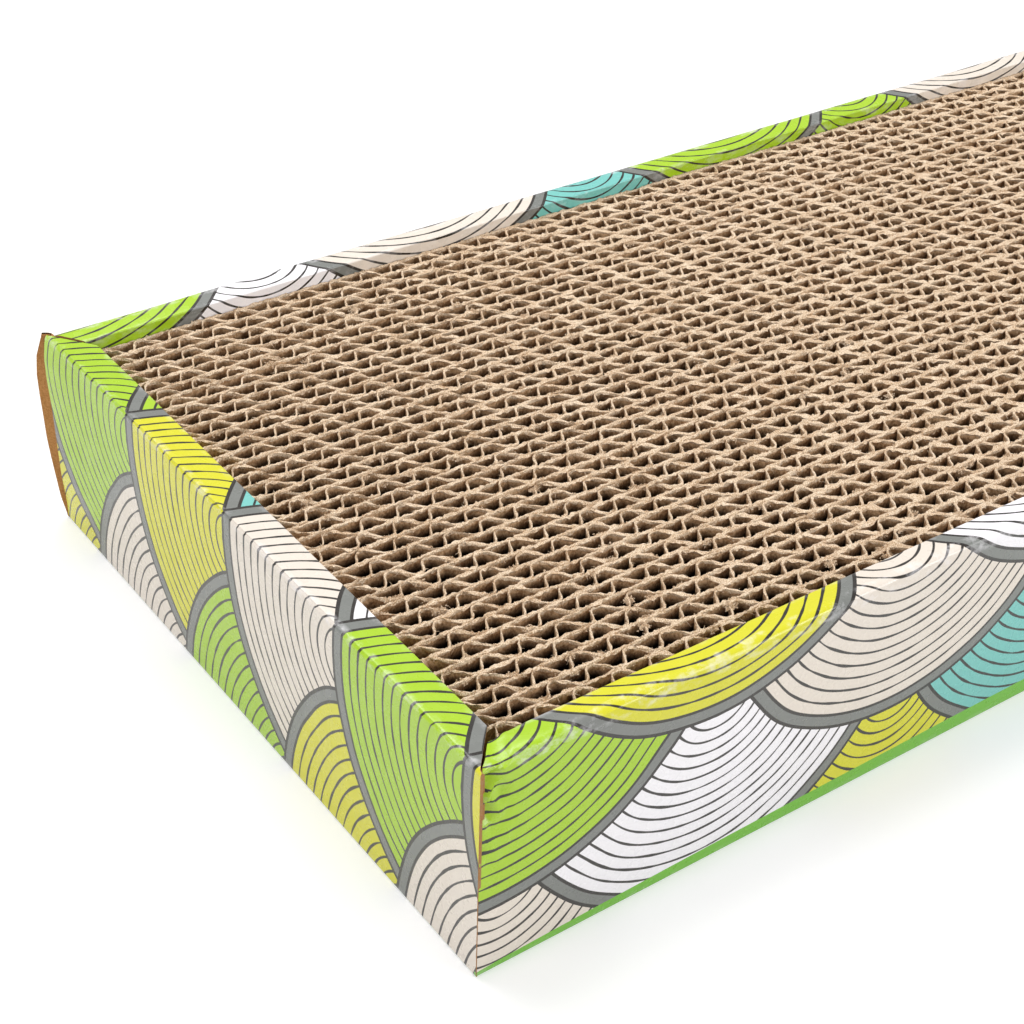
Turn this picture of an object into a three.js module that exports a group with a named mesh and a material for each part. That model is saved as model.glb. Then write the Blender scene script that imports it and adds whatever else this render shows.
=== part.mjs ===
// A cat scratcher: a folded carton tray with hollow roll-over walls, and a loose pad of corrugated
// board strips that stand on edge in it. Millimetres, +Z up. The origin is the middle of the underside.
// +X runs along the tray, and the front wall is the long one at -Y.

import * as THREE from "three";
import { mergeVertices } from "three/addons/utils/BufferGeometryUtils.js";

// Driving dimensions of the pad
const PAD_SPAN = 144; // across the boards, which stand side by side
const LAYER = 4.0; // one board with its glue line, a common flute height
const LINER = 0.5; // the two glued liners between one row of flutes and the next
const PAD_LENGTH = 434;
const PAD_HEIGHT = 42.9;
const FLUTE_PITCH = 19; // one wave in the solids. The real board has one every 7.9 mm
const FLUTE_SHEET = 0.45; // thickness of the fluted sheet
const GLUE_LINE = 0.15; // between a flute's crest and the liner beside it
const FLUTE_DRIFT = 0.382; // share of a wave by which each board lies further along than the last
const END_JOIN = 1.2; // length over which a fluted sheet is stuck to its liner at the board's end

// Driving dimensions of the tray
const BOARD = 0.6; // the carton
const SIDE_LEDGE = 6.4; // width of the top ledge along the long walls
const END_LEDGE = 7.6; // width of the top ledge along the end walls
const RIM_ABOVE_PAD = 3.0; // the ledges stand this much above the pad
const LEDGE_FALL = 0.4; // each ledge falls this much towards the pad
const SIDE_CREASE_RADIUS = 2.0; // the long walls' top edge is rolled softly
const END_CREASE_RADIUS = 1.2; // the end walls' top edge is sharper
const INNER_CREASE_RADIUS = 0.8;
const CREASE_STEPS = 4; // facets round each crease
const MITRE_SLANT = 1.16; // an end ledge is cut back along its wall by this much per mm of its width
const FOOT_SLOT = 0.9; // the glue foot stops short of the outer panel by this much
const FLAP_LENGTH = 30; // how far a corner flap reaches into its end wall
const FLAP_TRIM = 0.8; // the flap is cut this much shorter than the hollow, above and below

// Clearances
const PAD_CLEARANCE = 0.35; // between the pad and the inner panels, all round
const MITRE_GAP = 0.6; // between the cut ends of two ledges that meet at a corner
const FLAP_CLEARANCE = 0.3; // between a flap and the panels that it lies against
const SAME_POINT = 1e-4; // corners of a mesh closer than this are one corner

const PRINT_LIME = 0xb4dc4a;
const PRINT_GREEN = 0x6fb23c;
const KRAFT = 0xa8743c;
const CORRUGATED = 0xb9977a;

// Sizes that follow
const stripCount = Math.round(PAD_SPAN / LAYER);
const padWidth = stripCount * LAYER + LINER;
const trayWidth = padWidth + 2 * (PAD_CLEARANCE + SIDE_LEDGE);
const trayLength = PAD_LENGTH + 2 * (PAD_CLEARANCE + END_LEDGE);
const trayHeight = BOARD + PAD_HEIGHT + RIM_ABOVE_PAD;
const innerRimHeight = trayHeight - LEDGE_FALL;

function material(color, roughness) {
  return new THREE.MeshStandardMaterial({ color, roughness, metalness: 0 });
}

const printedCarton = material(PRINT_LIME, 0.35);
const printedBase = material(PRINT_GREEN, 0.4);
const kraftCarton = material(KRAFT, 0.85);
const corrugatedBoard = material(CORRUGATED, 0.95);

const scratcher = new THREE.Group();

function addPiece(name, geometry, finish, parent = scratcher) {
  geometry.deleteAttribute("normal");
  geometry.deleteAttribute("uv");
  const closed = mergeVertices(geometry, SAME_POINT);
  closed.computeVertexNormals();
  const mesh = new THREE.Mesh(closed, finish);
  mesh.name = name;
  parent.add(mesh);
  return mesh;
}

// The base panel lies under everything and carries the four walls and the pad.
const basePanel = addPiece(
  "base_panel",
  new THREE.BoxGeometry(trayLength, trayWidth, BOARD),
  printedBase,
);
basePanel.position.z = BOARD / 2;

// The section of a roll-over wall, seen along the wall: depth from the outer face, and height. The
// carton goes up the outer panel, over the ledge, down the inner panel and back along the base as a
// glue foot, so the hollow stays open at the slot beside the foot and at both mitred ends.
function wallSection(ledge, creaseRadius) {
  const footTop = 2 * BOARD;
  const section = new THREE.Shape();
  section.moveTo(0, BOARD);
  section.lineTo(BOARD, BOARD);
  section.lineTo(BOARD, trayHeight - creaseRadius);
  section.lineTo(creaseRadius, trayHeight - BOARD);
  section.lineTo(ledge - INNER_CREASE_RADIUS, innerRimHeight - BOARD);
  section.lineTo(ledge - BOARD, innerRimHeight - INNER_CREASE_RADIUS);
  section.lineTo(ledge - BOARD, footTop);
  section.lineTo(BOARD + FOOT_SLOT, footTop);
  section.lineTo(BOARD + FOOT_SLOT, BOARD);
  section.lineTo(ledge, BOARD);
  section.lineTo(ledge, innerRimHeight - INNER_CREASE_RADIUS);
  section.quadraticCurveTo(ledge, innerRimHeight, ledge - INNER_CREASE_RADIUS, innerRimHeight);
  section.lineTo(creaseRadius, trayHeight);
  section.quadraticCurveTo(0, trayHeight, 0, trayHeight - creaseRadius);
  section.closePath();
  return section;
}

// A wall runs along its own X, with its outer face at y = 0 and the tray's inside towards +Y. Its
// ends are cut on the mitre: it is shorter by the slant for each millimetre of depth. The cut of an
// end wall runs a little past the corner of its ledge, which leaves the small open notch there.
function rolledWall(length, ledge, slant, creaseRadius) {
  const geometry = new THREE.ExtrudeGeometry(wallSection(ledge, creaseRadius), {
    depth: length,
    bevelEnabled: false,
    curveSegments: CREASE_STEPS,
  });
  const place = geometry.attributes.position;
  for (let i = 0; i < place.count; i += 1) {
    const depth = place.getX(i);
    const height = place.getY(i);
    const side = place.getZ(i) > length / 2 ? 1 : -1;
    const end = length / 2 - depth * slant - MITRE_GAP / 2;
    place.setXYZ(i, side * end, depth, height);
  }
  return geometry;
}

function addWall(name, length, halfSpan, turn, ledge, slant, creaseRadius) {
  const side = new THREE.Group();
  side.rotation.z = turn;
  scratcher.add(side);
  const geometry = rolledWall(length, ledge, slant, creaseRadius);
  const wall = addPiece(name, geometry, printedCarton, side);
  wall.position.y = -halfSpan;
}

const halfLength = trayLength / 2;
const halfWidth = trayWidth / 2;
const quarterTurn = Math.PI / 2;
const sideWall = [SIDE_LEDGE, 1 / MITRE_SLANT, SIDE_CREASE_RADIUS];
const endWall = [END_LEDGE, MITRE_SLANT, END_CREASE_RADIUS];
addWall("front_wall", trayLength, halfWidth, 0, ...sideWall);
addWall("back_wall", trayLength, halfWidth, 2 * quarterTurn, ...sideWall);
addWall("right_end_wall", trayWidth, halfLength, quarterTurn, ...endWall);
addWall("left_end_wall", trayWidth, halfLength, -quarterTurn, ...endWall);

// Each long wall ends in two corner flaps, folded inwards into the hollow of the end walls. A flap
// starts at the long wall's outer panel and lies against the end wall's outer panel.
function addCornerFlap(name, endSign, wallSign) {
  const bottom = 2 * BOARD + FLAP_TRIM;
  const top = innerRimHeight - BOARD - FLAP_TRIM;
  const flap = addPiece(name, new THREE.BoxGeometry(BOARD, FLAP_LENGTH, top - bottom), kraftCarton);
  const inset = BOARD + FLAP_CLEARANCE;
  flap.position.set(
    endSign * (halfLength - inset - BOARD / 2),
    wallSign * (halfWidth - inset - FLAP_LENGTH / 2),
    (top + bottom) / 2,
  );
}

for (const [wallName, wallSign] of [["front", -1], ["back", 1]]) {
  for (const [endName, endSign] of [["left", -1], ["right", 1]]) {
    addCornerFlap(`corner_flap_${wallName}_${endName}`, endSign, wallSign);
  }
}

// The middle line of a fluted sheet from one end of a board to the other: a zigzag of crests and
// valleys between the liners, which starts at the given share of a wave.
function fluteLine(startShare) {
  const half = PAD_LENGTH / 2;
  const low = LINER + GLUE_LINE + FLUTE_SHEET / 2;
  const high = LAYER - GLUE_LINE - FLUTE_SHEET / 2;
  const heightAt = (x) => {
    const wave = (x + half) / FLUTE_PITCH + startShare;
    const swing = Math.abs(2 * (wave - Math.floor(wave)) - 1);
    return low + (high - low) * swing;
  };
  const points = [new THREE.Vector2(-half, heightAt(-half))];
  const step = FLUTE_PITCH / 2;
  const lastTurn = half - END_JOIN - step / 2;
  let x = (Math.floor(2 * startShare) + 1) * step - startShare * FLUTE_PITCH - half;
  while (x <= lastTurn) {
    points.push(new THREE.Vector2(x, heightAt(x)));
    x += step;
  }
  points.push(new THREE.Vector2(half - END_JOIN, low));
  return points;
}

// One board, seen from above: the straight liner, and the fluted sheet that doubles back from it.
// The last board also carries the pad's closing liner, stuck to it at the other end.
function boardSection(startShare, isLast) {
  const half = PAD_LENGTH / 2;
  const line = fluteLine(startShare);
  const section = new THREE.Shape();
  section.moveTo(-half, 0);
  section.lineTo(half, 0);
  section.lineTo(half, line.at(-1).y + FLUTE_SHEET / 2);
  for (const point of line.slice(1).reverse()) {
    section.lineTo(point.x, point.y + FLUTE_SHEET / 2);
  }
  if (isLast) {
    section.lineTo(-half + END_JOIN, line[0].y + FLUTE_SHEET / 2);
    section.lineTo(-half + END_JOIN, LAYER);
    section.lineTo(half, LAYER);
    section.lineTo(half, LAYER + LINER);
    section.lineTo(-half, LAYER + LINER);
  } else {
    section.lineTo(line[0].x, line[0].y + FLUTE_SHEET / 2);
  }
  for (const point of line) {
    section.lineTo(point.x, point.y - FLUTE_SHEET / 2);
  }
  section.lineTo(half - END_JOIN, LINER);
  section.lineTo(-half, LINER);
  section.closePath();
  return section;
}

// The boards stand on edge on the base panel, side by side from the front wall to the back wall.
for (let index = 0; index < stripCount; index += 1) {
  const share = (index * FLUTE_DRIFT) % 1;
  const isLast = index === stripCount - 1;
  const geometry = new THREE.ExtrudeGeometry(boardSection(share, isLast), {
    depth: PAD_HEIGHT,
    bevelEnabled: false,
  });
  const number = String(index + 1).padStart(2, "0");
  const strip = addPiece(`strip_${number}`, geometry, corrugatedBoard);
  strip.position.set(0, index * LAYER - padWidth / 2, BOARD);
}

export default scratcher;
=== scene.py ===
# A cat scratcher: a printed carton tray with hollow roll-over walls round a loose pad of corrugated
# board strips that stand on edge. Everything is in metres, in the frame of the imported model: +X runs
# along the tray, the front wall is the long one at -Y, and the tray stands on z = 0.

import math

import bpy
import numpy as np
from bpy.props import FloatProperty, FloatVectorProperty, IntProperty, PointerProperty
from bpy.types import Operator, Panel, PropertyGroup
from mathutils import Matrix, Vector


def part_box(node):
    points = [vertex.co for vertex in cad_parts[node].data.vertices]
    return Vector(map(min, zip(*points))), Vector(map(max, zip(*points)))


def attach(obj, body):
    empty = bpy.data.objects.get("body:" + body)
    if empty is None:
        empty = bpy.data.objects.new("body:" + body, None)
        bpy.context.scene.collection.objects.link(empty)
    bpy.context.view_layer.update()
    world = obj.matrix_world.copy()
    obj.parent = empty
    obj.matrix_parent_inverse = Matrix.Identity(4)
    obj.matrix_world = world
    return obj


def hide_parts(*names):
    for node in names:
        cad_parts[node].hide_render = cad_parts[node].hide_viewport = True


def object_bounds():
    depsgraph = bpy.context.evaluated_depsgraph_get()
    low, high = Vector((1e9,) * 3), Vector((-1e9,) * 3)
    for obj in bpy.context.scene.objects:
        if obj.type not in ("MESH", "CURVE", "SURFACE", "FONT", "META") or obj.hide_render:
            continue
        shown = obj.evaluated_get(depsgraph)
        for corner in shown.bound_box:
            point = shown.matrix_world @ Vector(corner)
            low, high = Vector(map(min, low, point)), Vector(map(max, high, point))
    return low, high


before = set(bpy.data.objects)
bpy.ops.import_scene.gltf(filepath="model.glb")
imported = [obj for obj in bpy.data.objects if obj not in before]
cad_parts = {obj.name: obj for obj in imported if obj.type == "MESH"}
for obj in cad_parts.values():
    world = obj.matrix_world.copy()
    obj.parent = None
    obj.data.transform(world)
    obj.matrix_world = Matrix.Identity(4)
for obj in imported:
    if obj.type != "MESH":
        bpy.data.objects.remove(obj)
CAD_LOW, CAD_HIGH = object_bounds()

bl_info = {
    "name": "Cat scratcher",
    "version": (1, 0, 0),
    "blender": (4, 5, 0),
    "location": "View3D > Sidebar > Scratcher",
    "description": "Builds a printed carton tray with a pad of corrugated board strips",
    "category": "Add Mesh",
}

MM = 0.001

HALF_LENGTH = CAD_HIGH.x
HALF_WIDTH = CAD_HIGH.y
TRAY_HEIGHT = CAD_HIGH.z
BASE_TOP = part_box("base_panel")[1].z
SIDE_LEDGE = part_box("front_wall")[1].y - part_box("front_wall")[0].y
END_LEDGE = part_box("left_end_wall")[1].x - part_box("left_end_wall")[0].x
STRIP_NODES = sorted(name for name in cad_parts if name.startswith("strip_"))
STRIP_LOW, STRIP_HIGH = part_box(STRIP_NODES[0])
PAD_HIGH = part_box(STRIP_NODES[-1])[1]
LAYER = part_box(STRIP_NODES[1])[0].y - STRIP_LOW.y
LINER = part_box(STRIP_NODES[-1])[1].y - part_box(STRIP_NODES[-1])[0].y - LAYER
FLAP_NODES = sorted(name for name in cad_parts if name.startswith("corner_flap"))

MESH_EDGE_REACH = 22 * MM  # a wall's mesh is finer within this distance of its ends
WALL_STEPS = 44  # rows of faces up an outer panel
BASE_STEPS = (90, 32)
STEPS_PER_FLUTE = 20
CRUMBS_PER_TUFT = 110
TUFT_SPREAD = np.array([0.5, 0.32, 0.2]) * MM
UNUSED_END, CLAWED_FROM = -HALF_LENGTH, -0.35 * HALF_LENGTH  # claws tore the pad more and more
LOOSE_FLAP_ROWS, FLAP_ROWS, FLAP_COLUMNS = 46, 30, 25
FOLD_POINTS = (12, 14, 12)  # of the loose fold's path: in the hollow, out round the corner, and back
FLOOR_HALF = 4.0
FLOOR_DROP = 0.05 * MM  # the floor lies this far below the tray
FLOOR_NEAR, FLOOR_FAR = 0.5, 1.6  # the floor's glow grows between these distances from the tray
WORLD_LIGHT = 0.5
SENSOR_WIDTH = 36.0
SEEDS = {"walls": 31, "base": 77, "flaps": 90, "boards": 5, "flutes": 12, "tears": 1000, "edges": 2000}

# The colours of the printed scales, in the order in which they take turns
PALETTE = ("lime", "white", "beige", "yellow", "lime", "white", "beige", "teal", "yellow")

# The settings that give the pattern of scales its sizes, which are also the names of its inputs
SCALE_SIZES = ("scale_radius", "scale_step", "band_width", "outline", "hatch_gap", "hatch_width")
PAPER_INPUTS = {"Place": "Vector", "Light": "Color", "Dark": "Color", "Grain": "Float", "Mottle": "Float"}

# The direction that each wall runs in, seen from above, with its printed side on the right
WALLS = {
    "front_wall": (1, 0),
    "back_wall": (-1, 0),
    "right_end_wall": (0, 1),
    "left_end_wall": (0, -1),
}


def length(label, about, size):
    """A length property, from a size in mm."""
    return FloatProperty(
        name=label, description=about, default=size * MM, min=0.0, unit="LENGTH", precision=5
    )


def number(label, about, value, least=0.0, most=1.0):
    return FloatProperty(name=label, description=about, default=value, min=least, max=most)


def whole(label, about, value):
    return IntProperty(name=label, description=about, default=value, min=0)


def angle(label, about, degrees):
    turn = math.radians(degrees)
    return FloatProperty(name=label, description=about, default=turn, unit="ROTATION")


def paint(label, about, value):
    """A colour property, from an sRGB hex value such as 0xB4DC4A."""
    channels = [((value >> shift) & 255) / 255 for shift in (16, 8, 0)]
    linear = [c / 12.92 if c <= 0.04045 else ((c + 0.055) / 1.055) ** 2.4 for c in channels]
    return FloatVectorProperty(
        name=label, description=about, default=linear, size=3, min=0.0, max=1.0, subtype="COLOR"
    )


class TraySettings(PropertyGroup):
    board: length("Board", "Thickness of the carton", BASE_TOP / MM)
    bottom_fold: length("Bottom fold", "Radius of the fold round the base", 0.5)
    side_crease: length("Side crease", "Radius of the long walls' top edge", 2.2)
    end_crease: length("End crease", "Radius of the end walls' top edge", 0.9)
    inner_crease: length("Inner crease", "Radius of the edge above the pad", 0.45)
    ledge_fall: length("Ledge fall", "How far a ledge falls towards the pad", 0.4)
    end_drop: length("End drop", "The end walls stand this much lower", 0.15)
    mitre_gap: length("Mitre gap", "Gap between two ledges at a corner", 0.3)
    foot_slot: length("Foot slot", "The glue foot stops short by this much", 0.9)
    mitre_slant: number("Mitre slant", "An end ledge's cut, along it per unit across", 1.16, 0.5, 2.0)
    mesh_step: length("Mesh step", "Length of one face along a wall", 1.6)
    corner_step: length("Corner step", "Length of one face close to a corner", 0.55)


class PadSettings(PropertyGroup):
    flute_pitch: length("Flute pitch", "One wave of the fluted sheet", 7.9)
    flute_sheet: length("Flute sheet", "Thickness of the fluted sheet", 0.26)
    liner_sheet: length("Liners", "Thickness of two liners glued together", 0.48)
    flute_burr: length("Flute burr", "How far the flutes' torn edges spread", 0.58)
    liner_burr: length("Liner burr", "How far the liners' torn edges spread", 0.3)
    mound: length("Mound", "How far the widest torn spots lean over a cell", 1.25)
    cut_depth: length("Cut depth", "Height of the torn part of each edge", 0.8)
    shade_depth: length("Shade depth", "Depth from which the cells are dark", 3.5)
    roughness: length("Roughness", "How much each spot of a torn edge is out of line", 0.18)
    mesh_step: length("Mesh step", "Length of one face along a sheet", 0.46)
    flute_slant: number("Flute slant", "How far the waves lean over sideways", 0.2)
    waviness: length("Waviness", "How far the liners wander sideways", 0.4)
    grains: whole("Grains", "Paper grains on each strip", 2600)
    fibres: whole("Fibres", "Torn fibres on each strip", 650)
    tufts: whole("Tufts", "Torn tufts on each sheet", 10)


class PrintSettings(PropertyGroup):
    lime: paint("Lime", "Printed lime green", 0xA9CF28)
    white: paint("White", "Unprinted coated board", 0xFAF7FA)
    yellow: paint("Yellow", "Printed yellow", 0xDAD62A)
    beige: paint("Beige", "Printed beige", 0xE8DDD0)
    teal: paint("Teal", "Printed teal", 0x7AC6BE)
    band: paint("Band", "Grey bands round the scales", 0x7E807C)
    ink: paint("Ink", "Dark outlines and hatching", 0x302C28)
    underside: paint("Underside", "Plain green below", 0x74BC34)
    scale_radius: length("Scale radius", "Radius of one printed scale", 44)
    scale_step: length("Scale step", "Distance between rows of scales", 19.6)
    band_width: length("Band width", "Width of the grey band", 3.0)
    outline: length("Outline", "Width of the dark outlines", 0.75)
    hatch_gap: length("Hatch gap", "Distance between two hatch lines", 2.6)
    hatch_width: length("Hatch width", "Width of a hatch line", 0.6)


class BoardColours(PropertyGroup):
    kraft: paint("Kraft", "Bare kraft board", 0xC28E56)
    kraft_dark: paint("Dark kraft", "Darker fibres of the kraft board", 0xA8743F)
    raw_edge: paint("Raw edge", "Cut edge of the carton", 0xA88460)
    cut: paint("Cut edge", "Torn edges of the corrugated board", 0xF4E0C6)
    cut_dark: paint("Cut shade", "Darker grain of the torn edges", 0xBA9874)
    inside: paint("Cell wall", "Paper inside the cells", 0xDAB48C)
    inside_dark: paint("Cell shade", "Darker grain inside the cells", 0xA07A56)
    # Painted shade: a near-black colour painted on the cell walls deep down, where the cells lie in
    # shade.
    deep: paint("Painted cell shade", "Painted shade deep down in the cells", 0x0A0502)


class StageSettings(PropertyGroup):
    camera_place: FloatVectorProperty(
        name="Camera",
        description="Where the camera stands",
        default=(-0.35485, -0.26111, 0.25416),
        size=3,
        unit="LENGTH",
    )
    azimuth: angle("Azimuth", "Direction that the camera looks in, from +Y", -36.388)
    elevation: angle("Elevation", "Angle by which the camera looks down", 35.333)
    roll: angle("Roll", "Tilt of the camera about its own line of sight", 1.904)
    lens: number("Lens", "Focal length in mm", 69.358, 1.0, 1000.0)
    floor_shade: number("Floor", "How pale the floor is", 0.7)
    floor_glow: number("Floor glow", "Light that the near floor adds to the picture", 0.38)


class Nodes:
    """Adds nodes to one tree and joins them. An input is a number, a colour or another socket."""

    def __init__(self, tree):
        self.tree = tree

    def add(self, kind, inputs=None, **settings):
        node = self.tree.nodes.new(kind)
        for key, value in settings.items():
            setattr(node, key, value)
        for key, value in (inputs or {}).items():
            self.feed(node.inputs[key], value)
        return node

    def feed(self, socket, value):
        if isinstance(value, bpy.types.NodeSocket):
            self.tree.links.new(value, socket)
        elif socket.type == "RGBA" and len(value) == 3:
            socket.default_value = (*value, 1.0)
        else:
            socket.default_value = value

    def math(self, operation, first, second=0.0, third=0.0, clamp=False):
        inputs = {0: first, 1: second, 2: third}
        node = self.add("ShaderNodeMath", inputs, operation=operation, use_clamp=clamp)
        return node.outputs[0]

    def minus(self, first, second):
        return self.math("SUBTRACT", first, second)

    def times(self, first, second):
        return self.math("MULTIPLY", first, second)

    def sway(self, value, noise, size, clamp=False):
        """A value moved both ways by a noise from 0 to 1."""
        return self.math("MULTIPLY_ADD", self.minus(noise, 0.5), size, value, clamp)

    def most(self, first, *others):
        for other in others:
            first = self.math("MAXIMUM", first, other)
        return first

    def mix(self, share, first, second):
        node = self.add("ShaderNodeMix", {0: share, 6: first, 7: second}, data_type="RGBA")
        return node.outputs[2]

    def blend(self, share, first, second):
        node = self.add("ShaderNodeMix", {0: share, 2: first, 3: second}, data_type="FLOAT")
        return node.outputs[0]

    def ramp(self, value, low, high, start=0.0, end=1.0):
        """A smooth step from start to end as the value goes from low to high."""
        inputs = {0: value, 1: low, 2: high, 3: start, 4: end}
        node = self.add("ShaderNodeMapRange", inputs, interpolation_type="SMOOTHSTEP")
        return node.outputs[0]

    def inset(self, value, low, high):
        """How far a value lies inside the nearer of two limits."""
        off_middle = self.math("ABSOLUTE", self.minus(value, (low + high) / 2))
        return self.minus((high - low) / 2, off_middle)

    def noise(self, place, scale, detail=2.0, roughness=0.5):
        inputs = {"Vector": place, "Scale": scale, "Detail": detail, "Roughness": roughness}
        return self.add("ShaderNodeTexNoise", inputs).outputs[0]

    def stretch(self, place, factors):
        inputs = {0: place, 1: factors}
        return self.add("ShaderNodeVectorMath", inputs, operation="MULTIPLY").outputs[0]

    def parts(self, place):
        return self.add("ShaderNodeSeparateXYZ", {0: place}).outputs

    def object_place(self):
        return self.add("ShaderNodeTexCoord").outputs["Object"]

    def group(self, name, inputs):
        group = bpy.data.node_groups[name]
        return self.add("ShaderNodeGroup", inputs, node_tree=group).outputs

    def attribute(self, name):
        return self.add("ShaderNodeAttribute", attribute_name=name).outputs["Fac"]


def new_group(name, inputs, outputs):
    """An empty shader node group, whose inputs and outputs are given with their kinds."""
    group = bpy.data.node_groups.new(name, "ShaderNodeTree")
    for way, sockets in (("INPUT", inputs), ("OUTPUT", outputs)):
        for label, kind in sockets.items():
            group.interface.new_socket(label, in_out=way, socket_type=f"NodeSocket{kind}")
    nodes = Nodes(group)
    return nodes, nodes.add("NodeGroupInput").outputs, nodes.add("NodeGroupOutput").inputs


def make_paper_group():
    """Paper fibres: a light and a dark tone of one paper, with fine grain and broad mottling."""
    outputs = {"Color": "Color", "Height": "Float"}
    nodes, given, result = new_group("Paper fibres", PAPER_INPUTS, outputs)
    fine = nodes.noise(given["Place"], nodes.math("DIVIDE", 1.0, given["Grain"]), 3.0, 0.65)
    broad = nodes.noise(given["Place"], nodes.math("DIVIDE", 1.0, given["Mottle"]), 2.0)
    both = nodes.sway(nodes.ramp(fine, 0.36, 0.64), broad, 1.1, clamp=True)
    nodes.feed(result["Color"], nodes.mix(both, given["Dark"], given["Light"]))
    nodes.feed(result["Height"], fine)


def make_scale_group():
    """Overlapping round scales with concentric hatching. Place is the flat blank in metres."""
    inputs = {"Place": "Vector", **dict.fromkeys(SCALE_SIZES, "Float")}
    outputs = dict.fromkeys(("Colour Share", "Band Mask", "Ink Mask"), "Float")
    nodes, given, result = new_group("Printed scales", inputs, outputs)
    place = given["Place"]
    radius, step, band, outline, hatch_gap, hatch_width = (given[name] for name in SCALE_SIZES)
    parts = nodes.parts(place)
    along = nodes.sway(parts[0], nodes.noise(place, 55.0, 1.0), 2.2 * MM)
    across = parts[1]
    lowest = nodes.math("CEIL", nodes.math("DIVIDE", nodes.minus(across, radius), step))
    width = nodes.times(radius, 2.0)
    chosen = None
    for layer in (3, 2, 1, 0):
        row = nodes.math("ADD", lowest, float(layer))
        shift = nodes.times(nodes.math("FLOORED_MODULO", row, 2.0), radius)
        column = nodes.math("ROUND", nodes.math("DIVIDE", nodes.minus(along, shift), width))
        over = nodes.minus(along, nodes.math("MULTIPLY_ADD", column, width, shift))
        up = nodes.minus(across, nodes.times(row, step))
        distance = nodes.math("SQRT", nodes.math("MULTIPLY_ADD", over, over, nodes.times(up, up)))
        cell = nodes.math("MULTIPLY_ADD", row, 3.0, nodes.times(column, 2.0))
        if chosen is None:
            chosen = (distance, cell)
        else:
            inside = nodes.math("LESS_THAN", distance, radius)
            chosen = [nodes.blend(inside, old, new) for old, new in zip(chosen, (distance, cell))]
    from_rim = nodes.minus(radius, chosen[0])
    past_band = nodes.minus(from_rim, band)
    nodes.feed(result["Band Mask"], nodes.math("LESS_THAN", from_rim, band))
    soft = 0.12 * MM

    def drawn(distance, half_width):
        """1 within half a line's width of its middle, with a soft border."""
        return nodes.ramp(distance, nodes.minus(half_width, soft), half_width, 1.0, 0.0)

    rim_line = drawn(from_rim, outline)
    band_line = drawn(nodes.math("ABSOLUTE", past_band), nodes.times(outline, 0.5))
    turn = nodes.math("WRAP", past_band, nodes.times(hatch_gap, 0.5), nodes.times(hatch_gap, -0.5))
    pen = nodes.math("MULTIPLY_ADD", nodes.noise(place, 180.0, 1.0), 0.7, 0.15)
    hatch = drawn(nodes.math("ABSOLUTE", turn), nodes.times(hatch_width, pen))
    hatch = nodes.times(hatch, nodes.math("GREATER_THAN", past_band, 0.0))
    nodes.feed(result["Ink Mask"], nodes.most(rim_line, band_line, hatch))
    count = float(len(PALETTE))
    share = nodes.math("DIVIDE", nodes.math("FLOORED_MODULO", chosen[1], count), count)
    nodes.feed(result["Colour Share"], nodes.math("ADD", share, 0.5 / count))


def make_material(name, roughness=0.5, specular=0.5):
    material = bpy.data.materials.new(name)
    material.use_nodes = True
    shader = material.node_tree.nodes["Principled BSDF"]
    shader.inputs["Roughness"].default_value = roughness
    shader.inputs["Specular IOR Level"].default_value = specular
    return material, Nodes(material.node_tree), shader


def add_bump(nodes, shader, height, strength, distance):
    inputs = {"Strength": strength, "Distance": distance, "Height": height}
    bump = nodes.add("ShaderNodeBump", inputs)
    nodes.feed(shader.inputs["Normal"], bump.outputs["Normal"])


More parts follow.
